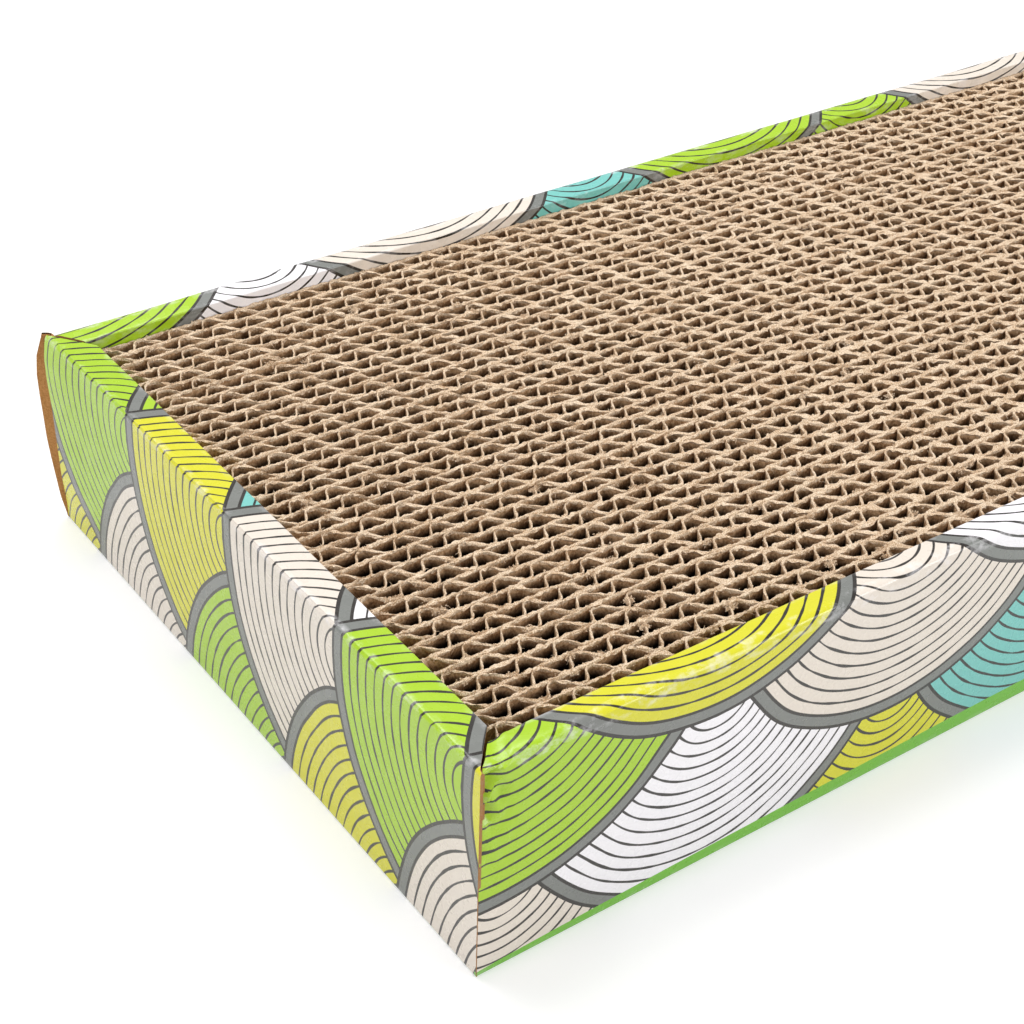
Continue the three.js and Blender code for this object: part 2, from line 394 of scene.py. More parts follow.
def make_print_material(scene):
    """The printed, glossy outside of the carton, in the coordinates of the flat blank."""
    colours, tray = scene.scratcher_print, scene.scratcher_tray
    _, nodes, shader = make_material("printed carton")
    blank = nodes.add("ShaderNodeUVMap", uv_map="Blank").outputs[0]
    sizes = {name: getattr(colours, name) for name in SCALE_SIZES}
    scales = nodes.group("Printed scales", {"Place": blank, **sizes})
    palette = nodes.add("ShaderNodeValToRGB", {0: scales["Colour Share"]})
    ramp = palette.color_ramp
    ramp.interpolation = "CONSTANT"
    while len(ramp.elements) < len(PALETTE):
        ramp.elements.new(1.0)
    for index, label in enumerate(PALETTE):
        ramp.elements[index].position = index / len(PALETTE)
        ramp.elements[index].color = (*getattr(colours, label), 1.0)
    tone = nodes.mix(scales["Band Mask"], palette.outputs[0], colours.band)
    tone = nodes.mix(scales["Ink Mask"], tone, colours.ink)

    # Solid green covers the base and runs a little way up the front wall, further along it.
    parts = nodes.parts(blank)
    fold = tray.bottom_fold
    side = nodes.minus(nodes.math("ABSOLUTE", parts[0]), HALF_LENGTH - fold)
    front = nodes.minus(nodes.math("ABSOLUTE", parts[1]), HALF_WIDTH - fold)
    outside = nodes.most(side, front)
    rise = nodes.math("POWER", nodes.ramp(parts[0], -HALF_LENGTH, 20 * MM), 0.35)
    run = nodes.math("MULTIPLY_ADD", rise, 3.2 * MM, 1.2 * MM)
    is_front = nodes.math("LESS_THAN", parts[1], -(HALF_WIDTH - fold))
    reach = nodes.math("MULTIPLY_ADD", run, is_front, 0.3 * MM)
    green = nodes.math("LESS_THAN", outside, reach)
    tone = nodes.mix(green, tone, colours.underside)

    # The creases are rubbed, and the ink is thin and chalky there.
    place = nodes.object_place()
    crease = nodes.attribute("crease")
    rub = nodes.noise(nodes.stretch(place, (0.6, 0.6, 1.0)), 420.0, 4.0, 0.7)
    worn = nodes.times(crease, nodes.ramp(rub, 0.45, 0.72, 0.0, 0.45))
    tone = nodes.mix(worn, tone, colours.white)
    speck = nodes.noise(place, 2600.0, 2.0, 0.6)
    tone = nodes.mix(nodes.ramp(speck, 0.3, 0.75, 0.0, 0.03), tone, colours.ink)
    nodes.feed(shader.inputs["Base Color"], tone)
    gloss = nodes.noise(place, 240.0, 3.0, 0.6)
    rough = nodes.math("MULTIPLY_ADD", worn, 0.5, nodes.ramp(gloss, 0.3, 0.7, 0.2, 0.34))
    nodes.feed(shader.inputs["Roughness"], rough)
    skin = nodes.noise(place, 900.0, 4.0, 0.6)
    add_bump(nodes, shader, nodes.math("MULTIPLY_ADD", rub, 0.4, skin), 0.1, 0.08 * MM)


def paper(nodes, place, tones, grain, mottle):
    """Paper fibres in a light and a dark tone, with the sizes of their grain and mottling."""
    inputs = dict(zip(PAPER_INPUTS, (place, *tones, grain, mottle)))
    return nodes.group("Paper fibres", inputs)


def make_paper_material(name, tones, grain, mottle, strength):
    _, nodes, shader = make_material(name, 0.88, 0.25)
    fibres = paper(nodes, nodes.object_place(), tones, grain, mottle)
    nodes.feed(shader.inputs["Base Color"], fibres["Color"])
    add_bump(nodes, shader, fibres["Height"], strength, 0.15 * MM)


def make_corrugated_material(scene):
    """Corrugated board cut by a saw: pale furry edges over darker cell walls, with painted shade deep in
    the cells.
    """
    tones, pad = scene.scratcher_board, scene.scratcher_pad
    _, nodes, shader = make_material("corrugated board", 0.95, 0.2)
    place = nodes.object_place()
    cut = paper(nodes, place, (tones.cut, tones.cut_dark), 0.22 * MM, 4 * MM)
    upright = nodes.stretch(place, (1.0, 1.0, 0.7))
    inside = paper(nodes, upright, (tones.inside, tones.inside_dark), 0.5 * MM, 4 * MM)
    edge = nodes.sway(nodes.attribute("cut"), nodes.noise(place, 2600.0, 3.0, 0.65), 1.2)
    # Painted shade: the cells are painted dark away from their open ends, but the pad's own sides and
    # underside are not.
    parts = nodes.parts(place)
    along, across, up = (
        nodes.inset(part, low, high) for part, low, high in zip(parts, STRIP_LOW, PAD_HIGH)
    )
    # The painted shade reaches full darkness nearer the top at the hardly used left end, and deeper down
    # towards the clawed part.
    light = nodes.ramp(parts[0], UNUSED_END, 0.2 * HALF_LENGTH, 0.9, 1.2)
    dark = nodes.ramp(up, pad.cut_depth, nodes.times(light, pad.shade_depth))
    dark = nodes.times(dark, nodes.ramp(across, 0.15 * MM, 0.4 * MM))
    dark = nodes.times(dark, nodes.ramp(along, 0.8 * MM, 5 * MM))
    # Painted shade: the cell walls' paper turns to the near-black shade colour deep down in the cells.
    wall = nodes.mix(dark, inside["Color"], tones.deep)
    underside = nodes.math("LESS_THAN", up, 0.05 * MM)
    share = nodes.most(nodes.ramp(edge, 0.15, 0.85), underside)
    nodes.feed(shader.inputs["Base Color"], nodes.mix(share, wall, cut["Color"]))
    relief = nodes.blend(share, inside["Height"], cut["Height"])
    add_bump(nodes, shader, relief, 0.6, 0.25 * MM)


def materials(scene, *names):
    """The finishes with these names. The first call makes all of them."""
    if "printed carton" not in bpy.data.materials:
        make_paper_group()
        make_scale_group()
        tones = scene.scratcher_board
        make_print_material(scene)
        dark = tones.kraft_dark
        make_paper_material("kraft", (tones.kraft, dark), 0.4 * MM, 7 * MM, 0.3)
        make_paper_material("raw edge", (tones.raw_edge, dark), 0.3 * MM, 3 * MM, 0.5)
        make_corrugated_material(scene)
    return [bpy.data.materials[name] for name in names]


class Drift:
    """Seeded smooth noise from -1 to 1, the same in each run."""

    TABLE = 512

    def __init__(self, seed):
        self.draws = np.random.default_rng(seed).uniform(-1, 1, (self.TABLE, self.TABLE))

    def draw(self, column, row):
        return self.draws[column % self.TABLE, row % self.TABLE]

    def __call__(self, along, across, spacing):
        x, y = np.broadcast_arrays(np.asarray(along) / spacing, np.asarray(across) / spacing)
        column, row = np.floor(x).astype(int), np.floor(y).astype(int)
        right, up = x - column, y - row
        right, up = right * right * (3 - 2 * right), up * up * (3 - 2 * up)
        low, high = (
            self.draw(column, side) * (1 - right) + self.draw(column + 1, side) * right
            for side in (row, row + 1)
        )
        return low * (1 - up) + high * up


def distances(path):
    """How far along a path each of its points lies."""
    return np.concatenate([[0], np.cumsum(np.linalg.norm(np.diff(path, axis=0), axis=1))])


def normals(path):
    """The direction to the left of a flat path at each of its points."""
    tangent = np.gradient(path, axis=-2)
    tangent /= np.linalg.norm(tangent, axis=-1, keepdims=True)
    return np.stack([-tangent[..., 1], tangent[..., 0]], -1)


def spun(x, y, direction):
    """A pair of coordinates turned about Z, from the direction of +X to another one."""
    cosine, sine = direction
    return x * cosine - y * sine, x * sine + y * cosine


def copies(points, pattern):
    """The points and faces of many small bodies, which all join their own corners by one pattern."""
    first = np.arange(len(points))[:, None, None] * points.shape[1]
    return points.reshape(-1, 3), (first + np.array(pattern)).reshape(-1, 3)


def grid_faces(index):
    quads = (index[:-1, :-1], index[1:, :-1], index[1:, 1:], index[:-1, 1:])
    return np.stack([corner.ravel() for corner in quads], 1)


def seam_faces(outer, inner):
    return np.stack([outer[:-1], outer[1:], inner[1:], inner[:-1]], 1)


def sheet_faces(rows, columns):
    """The front, back and rim faces of a sheet, for its front grid of points and then its back."""
    front = np.arange(rows * columns).reshape(rows, columns)
    back = front + rows * columns
    rims = [
        seam_faces(front[0], back[0]),
        seam_faces(front[-1], back[-1])[:, ::-1],
        seam_faces(front[:, 0], back[:, 0])[:, ::-1],
        seam_faces(front[:, -1], back[:, -1]),
    ]
    return grid_faces(front), grid_faces(back)[:, ::-1], np.concatenate(rims)


def add_object(name, data):
    added = bpy.data.objects.new(name, data)
    bpy.context.scene.collection.objects.link(added)
    return added


def build_mesh(name, points, faces, finishes, maps=None, values=None, sharp=40.0):
    """A mesh object. Faces are (corner indices, material index) pairs, with 3 or 4 corners each."""
    mesh = bpy.data.meshes.new(name)
    corners = np.concatenate([block.ravel() for block, _ in faces]).astype(np.int32)
    sizes = np.concatenate([np.full(len(block), block.shape[1]) for block, _ in faces])
    kinds = np.concatenate([np.full(len(block), kind) for block, kind in faces])
    mesh.vertices.add(len(points))
    mesh.vertices.foreach_set("co", np.asarray(points, np.float32).ravel())
    mesh.loops.add(len(corners))
    mesh.loops.foreach_set("vertex_index", corners)
    mesh.polygons.add(len(sizes))
    starts = np.concatenate([[0], np.cumsum(sizes)[:-1]]).astype(np.int32)
    mesh.polygons.foreach_set("loop_start", starts)
    mesh.polygons.foreach_set("material_index", kinds.astype(np.int32))
    mesh.polygons.foreach_set("use_smooth", np.ones(len(sizes), bool))
    for label, flat in (maps or {}).items():
        layer = mesh.uv_layers.new(name=label)
        layer.uv.foreach_set("vector", np.asarray(flat, np.float32)[corners].ravel())
    for label, numbers in (values or {}).items():
        attribute = mesh.attributes.new(label, "FLOAT", "POINT")
        attribute.data.foreach_set("value", np.asarray(numbers, np.float32))
    mesh.update(calc_edges=True)
    mesh.validate()
    mesh.set_sharp_from_angle(angle=math.radians(sharp))
    for finish in finishes:
        mesh.materials.append(finish)
    return add_object(name, mesh)


def arc(centre, radius, start, end, steps):
    turns = np.radians(np.linspace(start, end, steps + 1))
    return np.stack([centre[0] + radius * np.cos(turns), centre[1] + radius * np.sin(turns)], 1)


def line(start, end, steps):
    shares = np.linspace(0, 1, steps + 1)[1:-1, None]
    return np.array(start) * (1 - shares) + np.array(end) * shares


def wall_section(tray, ledge, crease, height):
    """The print side of a wall's section as (depth, height), and how much each point is a crease."""
    fold, inner, board = tray.bottom_fold, tray.inner_crease, tray.board
    inside = height - tray.ledge_fall
    pieces = [
        (arc((fold, fold), fold, 270, 180, 6), 0.3),
        (line((0, fold), (0, height - crease), WALL_STEPS), 0.0),
        (arc((crease, height - crease), crease, 180, 90, 8), 1.0),
        (line((crease, height), (ledge - inner, inside), 6), 0.0),
        (arc((ledge - inner, inside - inner), inner, 90, 0, 5), 0.6),
        (line((ledge, inside - inner), (ledge, board + inner), 10), 0.0),
        (arc((ledge - inner, board + inner), inner, 0, -90, 4), 0.2),
        (np.array([[board + tray.foot_slot, board]]), 0.0),
    ]
    section = np.concatenate([points for points, _ in pieces])
    crease_share = np.concatenate([np.full(len(points), share) for points, share in pieces])
    return section, crease_share


def spaced(half, fine, coarse, reach):
    """Places from -half to half, close together within reach of both ends."""
    shares = [0.0]
    while shares[-1] < half:
        near_end = half - shares[-1]
        step = fine if near_end < reach else min(coarse, fine + (near_end - reach) * 0.15)
        shares.append(shares[-1] + step)
    one_side = np.array(shares) * half / shares[-1]
    return np.concatenate([-one_side[:0:-1], one_side])


def make_wall(scene, node, shape):
    """One roll-over wall: printed outside, kraft inside, and raw edges where the board is cut."""
    tray = scene.scratcher_tray
    if node.endswith("end_wall"):
        half, span, ledge, rounding = HALF_WIDTH, HALF_LENGTH, END_LEDGE, tray.end_crease
        height, slant, shortest = TRAY_HEIGHT - tray.end_drop, tray.mitre_slant, 0.05 * MM
    else:
        half, span, ledge, rounding = HALF_LENGTH, HALF_WIDTH, SIDE_LEDGE, tray.side_crease
        height, slant, shortest = TRAY_HEIGHT, 1 / tray.mitre_slant, 0.3 * tray.board
    section, crease = wall_section(tray, ledge, rounding, height)
    outward = normals(section)
    run = distances(section)
    depth = section[:, 0]
    cut_back = np.maximum(shortest, depth * slant + tray.mitre_gap)
    rising = run < run[np.argmax(section[:, 1])]
    cut_back = np.where(rising & (depth < 0.3 * MM), shortest, cut_back)
    places = spaced(half, tray.corner_step, tray.mesh_step, MESH_EDGE_REACH)
    along = places[:, None] * (half - cut_back)[None, :] / half
    bend_out, lift = shape(along, run[None, :], section)
    layers = []
    for inset in (0.0, tray.board):
        moved = section - outward * inset + outward * bend_out[..., None]
        x, y = spun(along, -span + moved[..., 0], WALLS[node])
        layers.append(np.stack([x, y, moved[..., 1] + lift], -1))
    points = np.stack(layers).reshape(-1, 3)
    faces = list(zip(sheet_faces(*along.shape), (0, 1, 2)))
    start = span - tray.bottom_fold
    flat = spun(along, -(start + run), WALLS[node])
    blank = np.tile(np.stack(flat, -1).reshape(-1, 2), (2, 1))
    coats = materials(scene, "printed carton", "kraft", "raw edge")
    values = {"crease": np.tile(np.broadcast_to(crease, along.shape).ravel(), 2)}
    piece = build_mesh(f"printed_{node}", points, faces, coats, {"Blank": blank}, values)
    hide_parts(node)
    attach(piece, "tray")


# How far the loose end of the left end wall stands out at each height, as (z, distance) in mm
STANDS_OUT = ((4, 0), (12, 0.5), (28, 0.7), (36, 1.05), (41, 1.05), (45, 0.5), (46.4, 0.1))


def wall_shape(seed, is_crumpled, is_loose):
    """How a wall strays from flat: soft waves, and at its start creases where the top corner was
    crumpled, or an end that stands out where the fold behind it is loose."""
    drift = Drift(seed)

    def shape(along, run, section):
        depth, height = section[None, :, 0], section[None, :, 1]
        panel = np.clip(height / (8 * MM), 0, 1) * (depth < 0.5 * MM)
        ledge = (height > TRAY_HEIGHT - 2.2 * MM) & (depth > 1.5 * MM)
        inner = (depth > 5.5 * MM) & ~ledge
        waves = 0.5 + 0.5 * drift(along, run, 34 * MM)
        small = 0.5 + 0.5 * drift(along + 3, run + 3, 11 * MM)
        half = abs(along).max()
        from_end = half + along
        held = np.clip((half - abs(along)) / (14 * MM), 0, 1)
        inward = (0.32 * waves + 0.1 * small) * MM * panel * held
        inward = inward + (0.02 + 0.08 * small) * MM * ledge
        inward = inward - 0.12 * MM * drift(along + 7, run, 24 * MM) * inner
        crest = 0.14 * MM * (0.5 + 0.5 * drift(along, 5, 17 * MM))
        lift = -crest * np.clip(height / TRAY_HEIGHT, 0, 1) ** 6
        if is_crumpled:
            below = np.maximum(TRAY_HEIGHT - height, 0)
            near = np.exp(-((from_end / (6 * MM)) ** 2) - (below / (15 * MM)) ** 2)
            folds = abs(drift(from_end + 0.35 * run, run - 0.2 * from_end, 3.6 * MM))
            folds = folds + 0.5 * abs(drift(from_end - 0.4 * run, run, 2.2 * MM))
            inward = inward + near * folds * 2.4 * MM * (run < 60 * MM)
        if is_loose:
            near = np.exp(-((from_end / (13 * MM)) ** 2))
            stands_out = np.interp(height / MM, *np.transpose(STANDS_OUT)) * MM
            inward = inward - near * stands_out * (depth < 0.6 * MM)
        return -inward, lift

    return shape


class SCRATCHER_OT_walls(Operator):
    """Add the four printed roll-over walls"""

    bl_idname = "scratcher.add_walls"
    bl_label = "Walls"

    def execute(self, context):
        for seed, node in enumerate(WALLS):
            is_crumpled, is_loose = node == "front_wall", node == "left_end_wall"
            shape = wall_shape(SEEDS["walls"] + seed, is_crumpled, is_loose)
            make_wall(context.scene, node, shape)
        return {"FINISHED"}


class SCRATCHER_OT_base(Operator):
    """Add the base panel, kraft inside and green below"""

    bl_idname = "scratcher.add_base"
    bl_label = "Base panel"

    def execute(self, context):
        scene = context.scene
        fold = scene.scratcher_tray.bottom_fold
        corner = (HALF_LENGTH - fold, HALF_WIDTH - fold)
        places = [np.linspace(-half, half, steps + 1) for half, steps in zip(corner, BASE_STEPS)]
        x, y = (part.ravel() for part in np.meshgrid(*places, indexing="ij"))
        inset = np.minimum(corner[0] - abs(x), corner[1] - abs(y))
        free = np.clip(inset / (12 * MM), 0, 1)
        sag = 0.1 * MM * free * (1 + Drift(SEEDS["base"])(x, y, 40 * MM))
        top, bottom = (np.column_stack([x, y, z]) for z in (BASE_TOP - sag, 0 * x))
        points = np.concatenate([top, bottom])
        coats = materials(scene, "kraft", "printed carton", "raw edge")
        faces = list(zip(sheet_faces(*(len(part) for part in places)), (0, 1, 2)))
        values = {"crease": np.zeros(len(points))}
        piece = build_mesh("green_base_panel", points, faces, coats, {"Blank": points[:, :2]}, values)
        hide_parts("base_panel")
        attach(piece, "tray")
        return {"FINISHED"}


# How far the loose fold at the back left corner bulges at each height, as (z, bulge) in mm
BULGE = (
    *((0, 0.1), (5, 1.5), (10, 2.2), (15, 2.9), (20, 3.5), (25, 3.8)),
    *((30, 4.1), (35, 4.2), (40, 3.5), (45, 1.6), (46.4, 1.1)),
)


def curve(start, bend, end, steps):
    """Points on a soft bend from start to end."""
    turns = np.linspace(0, 1, steps)[:, None]
    return (1 - turns) ** 2 * start + 2 * turns * (1 - turns) * bend + turns**2 * end


def loose_path(x_mid, y_start, bulge):
    """The fold at the back left corner seen from above: out of the hollow, round and back, in mm."""
    corner = np.array([-HALF_LENGTH, HALF_WIDTH]) / MM
    nose = corner + bulge * np.array([-0.3, 1.0])
    mouth = np.array([x_mid, corner[1] - 0.4])
    first, second, third = FOLD_POINTS
    hidden = np.column_stack([[x_mid] * first, np.linspace(y_start, mouth[1] - 0.3, first)])
    out = curve(mouth, np.array([x_mid - 0.1 * bulge, corner[1] + 0.5 * bulge]), nose, second)
    end = corner + [0.9 + 0.2 * bulge, -0.2]
    back = curve(nose, nose + [0.3 * bulge, 0.15 * bulge], end, third)
    return np.concatenate([hidden, out, back[1:]])


def make_flap(scene, node, seed):
    """One corner flap of bare kraft board."""
    low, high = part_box(node)
    x_mid = (low.x + high.x) / 2
    if node.endswith("back_left"):
        heights = np.linspace(0.4 * MM, TRAY_HEIGHT - 0.4 * MM, LOOSE_FLAP_ROWS)
        bulges = np.interp(heights / MM, *np.transpose(BULGE))
        path = np.stack([loose_path(x_mid / MM, low.y / MM, bulge) for bulge in bulges]) * MM
    else:
        heights = np.linspace(low.z, high.z, FLAP_ROWS)
        places = np.linspace(low.y, high.y, FLAP_COLUMNS)
        straight = np.column_stack([[x_mid] * FLAP_COLUMNS, places])
        path = np.tile(straight, (FLAP_ROWS, 1, 1))
    rows = heights[:, None]
    bend = 0.1 * MM * Drift(seed)(np.arange(path.shape[1]) * MM, rows, 9 * MM)
    half = scene.scratcher_tray.board / 2
    is_hidden = path[..., 1] < high.y
    z = np.where(is_hidden, np.clip(rows, low.z, high.z), rows)[..., None]
    skins = [
        np.concatenate([path + normals(path) * (bend + side * half)[..., None], z], -1)
        for side in (1, -1)
    ]
    points = np.stack(skins).reshape(-1, 3)
    faces = list(zip(sheet_faces(*path.shape[:2]), (0, 0, 1)))
    coats = materials(scene, "kraft", "raw edge")
    piece = build_mesh(f"kraft_{node}", points, faces, coats)
    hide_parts(node)
    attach(piece, "tray")


class SCRATCHER_OT_flaps(Operator):
    """Add the kraft corner flaps inside the end walls"""

    bl_idname = "scratcher.add_flaps"
    bl_label = "Corner flaps"

    def execute(self, context):
        for seed, node in enumerate(FLAP_NODES):
            make_flap(context.scene, node, SEEDS["flaps"] + seed)
        return {"FINISHED"}


# The claws and the saw pushed the torn edges this way, so a sheet that lies along it stays thin.
PUSHED = np.array([0.56, 0.83])


def standing_sheet(path, thickness, top, spread, pad, drift, rng):
    """A sheet on edge that follows a path seen from above. Its torn top edge is ragged and spread:
    spread is the usual reach of the torn edge and that of its widest spots."""
    burr, mound = spread
    normal, run, half = normals(path), distances(path), thickness / 2
    clawed = np.interp(path[:, 0], (UNUSED_END, CLAWED_FROM), (0.2, 1.08))
    sides, reaches = [], []
    for sign in (1, -1):
        toward = np.clip(normal @ PUSHED * sign, 0, 1)
        away = np.clip(-normal @ PUSHED * sign, 0, 1)
        coarse, fine = drift(run, sign * 5.5, 1.1 * MM), drift(run, sign * 7.5, 0.5 * MM)
        ragged = 0.5 + 0.3 * coarse + 0.45 * fine
        lumps = np.clip(drift(run, sign * 9.5, 3.2 * MM) - 0.08, 0, 1)
        push = burr * (toward * (0.45 + 0.8 * ragged) + away * (0.15 + 0.45 * ragged) + 0.03)
        push = push + mound * lumps * (0.12 + toward) * (0.5 + 0.7 * ragged)
        push = push * clawed
        reaches.append(half + push)
        profile = (
            (half, STRIP_LOW.z, 0.0),
            (half, top - pad.cut_depth, 0.2),
            (half + 0.3 * push, top - 0.55 * pad.cut_depth, 0.8),
            (half + push, top - 0.25 * pad.cut_depth * (0.6 + lumps), 1.0),
            (0.5 * (half + push), top, 0.6),
        )
        furry = pad.roughness * (0.3 + 0.7 * (toward + away))
        for across, height, rough in profile:
            loose = rng.normal(0, 1, (2, len(path)))
            loose = 0.8 * loose + 0.5 * np.roll(loose, 1, axis=1)
            shift = rough * furry * np.clip(loose, -2.5, 2)
            place = path + normal * (sign * (across + shift[0]))[:, None]
            sides.append(np.column_stack([place, height + shift[1]]))
    side_count, last = len(sides) // 2, len(sides) - 1
    points = np.stack([*sides[:side_count], *sides[side_count:][::-1]], 1)
    index = np.arange(points.size // 3).reshape(len(path), -1)
    around = np.roll(index, -1, axis=1)
    quads = (index[:-1], around[:-1], around[1:], index[1:])
    faces = [np.stack([corner.ravel() for corner in quads], 1)]
    for ring, turn in ((index[0], 1), (index[-1], -1)):
        ladder = [ring[[k, last - k, last - 1 - k, k + 1]] for k in range(side_count - 1)]
        faces.append(np.array(ladder)[:, ::turn])
    levels = [0.0, 0.0, 0.55, 1.0, 1.0]
    cut = np.tile(levels + levels[::-1], len(path))
    anchors = (path, top, normal, *reaches)
    return points.reshape(-1, 3), np.concatenate(faces), cut, anchors


def slivers(root, direction, width):
    """Closed slivers of paper with four faces each, from a root to the tip that direction reaches."""
    heading = np.arctan2(direction[:, 1], direction[:, 0])
    side = np.column_stack([-np.sin(heading), np.cos(heading), np.zeros(len(root))])
    below = root - np.column_stack([np.zeros((len(root), 2)), width * 1.6])
    side = side * width[:, None]
    points = np.stack([root + side, root - side, below, root + direction], 1)
    return copies(points, [[0, 1, 2], [0, 3, 1], [1, 3, 2], [2, 3, 0]])


def edge_places(anchors, count, rng):
    """Random places on a sheet's torn edge: a root, the outward direction, the reach and the top."""
    path, top, normal, left, right = anchors
    facing, tries = normal @ PUSHED, count * 3
    sign = rng.choice([-1.0, 1.0], tries)
    at = rng.integers(0, len(path) - 1, tries)
    kept = rng.random(tries) < 0.3 + 0.7 * np.clip(facing[at] * sign, 0, 1)
    sign, at = sign[kept][:count], at[kept][:count]
    share = rng.random(len(at))[:, None]
    reach = np.where(sign > 0, left[at], right[at])
    spot = path[at] * (1 - share) + path[at + 1] * share
    return spot, normal[at] * sign[:, None], reach, top[at]


def torn_grains(anchors, count, rng):
    """Grains of torn paper that sit on the sawn edges and hang a little way down both sides."""
    spot, outward, reach, top = edge_places(anchors, count, rng)
    count = len(spot)
    out = reach * rng.uniform(0.2, 1.1, count)
    down = np.where(out > reach * 0.8, rng.uniform(0.0, 0.5, count), 0.05) * MM
    centres = np.column_stack([spot + outward * out[:, None], top - down])
    return crumbs(centres, rng.uniform(0.08, 0.3, count) * MM, rng)


def torn_fibres(anchors, count, rng):
    """Longer, thinner strands that stick out of the sawn edges."""
    spot, outward, reach, top = edge_places(anchors, count, rng)
    count = len(spot)
    down = rng.uniform(0, 0.6, count) * MM
    root = np.column_stack([spot + outward * reach[:, None] * 0.8, top - down])
    turn = rng.normal(0, 0.9, count)
    x, y = spun(outward[:, 0], outward[:, 1], (np.cos(turn), np.sin(turn)))
    direction = np.column_stack([x, y, rng.uniform(-0.7, 0.2, count)])
    direction *= rng.uniform(0.3, 1.0, count)[:, None] ** 1.5 * 1.2 * MM
    return slivers(root, direction, rng.uniform(0.04, 0.09, count) * MM)


def crumbs(centres, sizes, rng):
    """Small uneven lumps of paper with four faces each, one at each centre."""
    corner = np.array([[0.9, 0, -0.4], [-0.5, 0.8, -0.4], [-0.5, -0.8, -0.4], [0, 0, 0.9]])
    swing = rng.uniform(0.7, 1.4, (len(centres), 4, 3))
    turn = rng.uniform(0, 2 * np.pi, len(centres))[:, None]
    x, y, z = np.moveaxis(corner * swing * sizes[:, None, None], -1, 0)
    x, y = spun(x, y, (np.cos(turn), np.sin(turn)))
    points = centres[:, None] + np.stack([x, y, z * 0.8], -1)
    return copies(points, [[0, 1, 3], [1, 2, 3], [2, 0, 3], [1, 0, 2]])


class Bodies:
    """Gathers the points, faces and shares of cut edge of many closed bodies for one mesh."""

    def __init__(self):
        self.points, self.faces, self.cut, self.count = [], [], [], 0

    def add(self, points, faces, cut):
        self.points.append(points)
        self.faces.append((faces + self.count, 0))
        self.cut.append(np.broadcast_to(cut, len(points)))
        self.count += len(points)


class PadShape:
    """What all strips share: how the glued boards wander, and where each board's flutes start."""

    def __init__(self, pad, count):
        self.pad = pad
        self.count = count
        self.drift = Drift(SEEDS["boards"])
        rng = np.random.default_rng(SEEDS["flutes"])
        self.starts, shift, change = [], 0.2, 0.06
        for index in range(count):
            if rng.random() < 0.24:
                shift += rng.uniform(0.2, 0.8)
                change = rng.uniform(0.02, 0.13)
            shift += change + rng.normal(0, 0.03)
            self.starts.append(shift)

    def side_shift(self, x, index):
        """How far a board lies off its straight line. The outer boards are held by the tray."""
        free = min(1.0, min(index, self.count - index) / 3)
        broad = self.drift(x, index * 9 * MM, 42 * MM)
        fine = self.drift(x + 1, index * 40 * MM, 13 * MM)
        return self.pad.waviness * free * (0.8 * broad + 0.3 * fine)

    def top(self, x, index):
        own = self.drift(0.3, index * 1.7, 1.0)
        slow = self.drift(x + 2, index * 30 * MM, 30 * MM)
        return STRIP_HIGH.z - 0.3 * MM + (0.28 * own + 0.15 * slow) * MM


def board_sheets(pad, shape, index, drift, rng):
    """The sheets of one board, seen from above: path, thickness, top and spread of each."""
    y_low = STRIP_LOW.y + index * LAYER
    start = STRIP_LOW.x + rng.uniform(0.1, 0.9) * MM
    end = STRIP_HIGH.x - rng.uniform(0.1, 0.9) * MM
    x = np.arange(start, end, pad.mesh_step)
    sheets, liners = [], [(LINER / 2, index)]
    if index == shape.count - 1:
        liners.append((LAYER + LINER / 2, index + 1))
    for offset, row in liners:
        path = np.column_stack([x, y_low + offset + shape.side_shift(x, row)])
        top = shape.top(x, row) + 0.05 * MM * drift(x, 3.0, 1.2 * MM)
        sheets.append((path, pad.liner_sheet, top, (pad.liner_burr, pad.mound)))
    along = np.linspace(start, end, int((end - start) / pad.flute_pitch * STEPS_PER_FLUTE))
    phase = along / pad.flute_pitch + shape.starts[index] + 0.03 * drift(along, 8.0, 20 * MM)
    sine = np.sin(2 * np.pi * phase)
    swing = sine * (1 + rng.uniform(0.22, 0.4) * (1 - sine**2))
    gap = LAYER - LINER
    near, far = shape.side_shift(along, index), shape.side_shift(along, index + 1)
    middle = y_low + LINER + gap / 2 + (near + far) / 2
    amplitude = (gap - pad.flute_sheet) / 2 + (far - near) / 2
    weak = 1 - 0.3 * np.clip(drift(along, 12.0, 9 * MM) - 0.45, 0, 1)
    lean = pad.flute_slant * amplitude * swing
    flute = np.column_stack([along - lean, middle + amplitude * swing * weak])
    top = shape.top(along, index + 0.5) - 0.08 * MM + 0.12 * MM * drift(along, 6.0, 2.6 * MM)
    sheets.append((flute, pad.flute_sheet, top, (pad.flute_burr, 0.7 * pad.mound)))
    return sheets


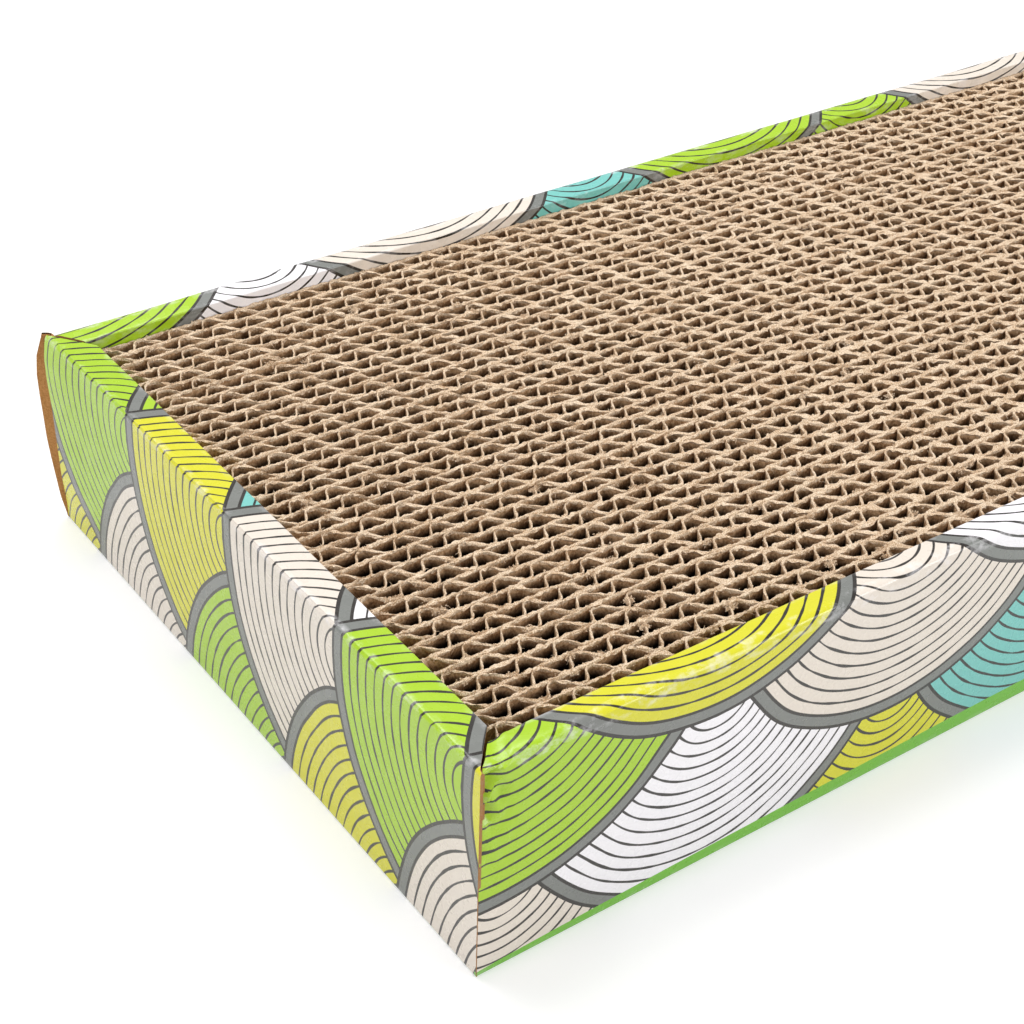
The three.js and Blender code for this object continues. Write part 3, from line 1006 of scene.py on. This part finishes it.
def make_strip(scene, shape, index, node):
    """One board on edge: the liners, the fluted sheet and what the saw tore loose."""
    pad = scene.scratcher_pad
    rng = np.random.default_rng(SEEDS["tears"] + index)
    drift = Drift(SEEDS["edges"] + index)
    bodies, anchors = Bodies(), []
    for sheet in board_sheets(pad, shape, index, drift, rng):
        points, quads, cut, anchor = standing_sheet(*sheet, pad, drift, rng)
        bodies.add(points, quads, cut)
        anchors.append(anchor)
    for anchor in (anchors[0], anchors[-1]):
        for tear, number_torn in ((torn_grains, pad.grains), (torn_fibres, pad.fibres)):
            bodies.add(*tear(anchor, number_torn // 2, rng), 1.0)
    centres = []
    for anchor in anchors:
        spot, outward, reach, top = edge_places(anchor, pad.tufts, rng)
        root = spot + outward * (reach * 0.9)[:, None]
        middles = np.column_stack([root, top - rng.uniform(0.2, 0.6, len(top)) * MM])
        spread = rng.normal(0, 1, (len(top), CRUMBS_PER_TUFT, 3)) * TUFT_SPREAD
        centres.append((middles[:, None] + spread).reshape(-1, 3))
    centres = np.concatenate(centres)
    centres[:, 2] = np.minimum(centres[:, 2], STRIP_HIGH.z + 0.2 * MM)
    sizes = rng.uniform(0.14, 0.32, len(centres)) * MM
    bodies.add(*crumbs(centres, sizes, rng), 0.9)
    coats = materials(scene, "corrugated board")
    values = {"cut": np.concatenate(bodies.cut)}
    points = np.concatenate(bodies.points)
    piece = build_mesh(f"board_{node}", points, bodies.faces, coats, None, values, 50.0)
    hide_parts(node)
    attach(piece, "pad")


class SCRATCHER_OT_pad(Operator):
    """Add the strips of corrugated board"""

    bl_idname = "scratcher.add_pad"
    bl_label = "Pad"

    def execute(self, context):
        shape = PadShape(context.scene.scratcher_pad, len(STRIP_NODES))
        for index, node in enumerate(STRIP_NODES):
            make_strip(context.scene, shape, index, node)
        return {"FINISHED"}


def make_floor_material(stage):
    """A pale floor that is plain white to the camera where no shadow falls, and far away."""
    material, nodes, shader = make_material("floor", 1.0, 0.0)
    nodes.feed(shader.inputs["Base Color"], (stage.floor_shade,) * 3)
    rays = nodes.add("ShaderNodeLightPath").outputs
    kinds = ("Is Camera Ray", "Is Glossy Ray", "Is Transmission Ray")
    seen = nodes.most(*(rays[kind] for kind in kinds))
    glow = nodes.add("ShaderNodeEmission", {"Color": (1.0, 1.0, 1.0)})
    place = nodes.object_place()
    away = nodes.add("ShaderNodeVectorMath", {0: place}, operation="LENGTH").outputs["Value"]
    strength = nodes.ramp(away, FLOOR_NEAR, FLOOR_FAR, stage.floor_glow, 1.0)
    nodes.feed(glow.inputs["Strength"], nodes.times(seen, strength))
    both = nodes.add("ShaderNodeAddShader", {0: shader.outputs[0], 1: glow.outputs[0]})
    output = material.node_tree.nodes["Material Output"]
    nodes.feed(output.inputs["Surface"], both.outputs[0])
    return material


# Where each lamp hangs, what it points at, its two sides in metres and its power in watts
LAMPS = {
    "top lamp": ((-0.1, 0.5, 1.2), (0.0, 0.0, 0.0), (1.0, 0.7), 12.0),
    "front lamp": ((0.6, -1.1, 0.55), (0.0, 0.0, 0.02), (0.6, 0.6), 8.0),
    "left lamp": ((-1.2, -0.1, 0.6), (-0.1, 0.0, 0.02), (0.7, 0.7), 3.5),
}


def add_lamp(name, place, target, size, power):
    lamp = bpy.data.lights.new(name, "AREA")
    lamp.shape = "RECTANGLE"
    lamp.size, lamp.size_y = size
    lamp.energy = power
    holder = add_object(name, lamp)
    holder.location = place
    toward = Vector(target) - Vector(place)
    holder.rotation_euler = toward.to_track_quat("-Z", "Y").to_euler()


def add_camera(stage):
    camera = bpy.data.cameras.new("camera")
    camera.lens = stage.lens
    camera.sensor_width = SENSOR_WIDTH
    camera.clip_start, camera.clip_end = 0.01, 20.0
    holder = add_object("camera", camera)
    turn, tilt = stage.azimuth, stage.elevation
    back = (math.sin(turn) * math.cos(tilt), -math.cos(turn) * math.cos(tilt), math.sin(tilt))
    level = (-Vector(back)).to_track_quat("-Z", "Y").to_matrix()
    turned_by = level @ Matrix.Rotation(stage.roll, 3, "Z")
    holder.matrix_world = Matrix.Translation(stage.camera_place) @ turned_by.to_4x4()
    bpy.context.scene.camera = holder


class SCRATCHER_OT_stage(Operator):
    """Add the floor, the lamps and the camera"""

    bl_idname = "scratcher.add_stage"
    bl_label = "Stage"

    def execute(self, context):
        scene = context.scene
        stage = scene.scratcher_stage
        half, z = FLOOR_HALF, -FLOOR_DROP
        points = [(-half, -half, z), (half, -half, z), (half, half, z), (-half, half, z)]
        faces = [(np.array([[0, 1, 2, 3]]), 0)]
        floor = build_mesh("floor", points, faces, [make_floor_material(stage)])
        world = bpy.data.worlds.new("studio")
        scene.world = world
        world.use_nodes = True
        nodes = Nodes(world.node_tree)
        backdrop = world.node_tree.nodes["Background"]
        rays = nodes.add("ShaderNodeLightPath").outputs
        seen = nodes.most(rays["Is Camera Ray"], rays["Is Transmission Ray"])
        nodes.feed(backdrop.inputs["Strength"], nodes.blend(seen, WORLD_LIGHT, 1.0))
        nodes.feed(backdrop.inputs["Color"], (1.0, 1.0, 1.0))
        for name, lamp in LAMPS.items():
            add_lamp(name, *lamp)
        scene.view_settings.view_transform = "Standard"
        add_camera(stage)
        return {"FINISHED"}


class SCRATCHER_PT_panel(Panel):
    """The steps that build the scratcher, in order"""

    bl_idname = "SCRATCHER_PT_panel"
    bl_label = "Cat scratcher"
    bl_space_type = "VIEW_3D"
    bl_region_type = "UI"
    bl_category = "Scratcher"

    def draw(self, context):
        for operator in OPERATORS:
            self.layout.operator(operator.bl_idname)
        for name, settings in SETTINGS.items():
            box = self.layout.box()
            for key in settings.__annotations__:
                box.prop(getattr(context.scene, name), key)


SETTINGS = {
    "scratcher_tray": TraySettings,
    "scratcher_pad": PadSettings,
    "scratcher_print": PrintSettings,
    "scratcher_board": BoardColours,
    "scratcher_stage": StageSettings,
}
OPERATORS = (
    SCRATCHER_OT_base,
    SCRATCHER_OT_walls,
    SCRATCHER_OT_flaps,
    SCRATCHER_OT_pad,
    SCRATCHER_OT_stage,
)
CLASSES = (*SETTINGS.values(), *OPERATORS, SCRATCHER_PT_panel)


def register():
    for cls in CLASSES:
        bpy.utils.register_class(cls)
    for name, settings in SETTINGS.items():
        setattr(bpy.types.Scene, name, PointerProperty(type=settings))


def unregister():
    for name in SETTINGS:
        delattr(bpy.types.Scene, name)
    for cls in reversed(CLASSES):
        bpy.utils.unregister_class(cls)


def main():
    register()
    bpy.ops.scratcher.add_base()
    bpy.ops.scratcher.add_walls()
    bpy.ops.scratcher.add_flaps()
    bpy.ops.scratcher.add_pad()
    bpy.ops.scratcher.add_stage()


if __name__ == "__main__":
    main()
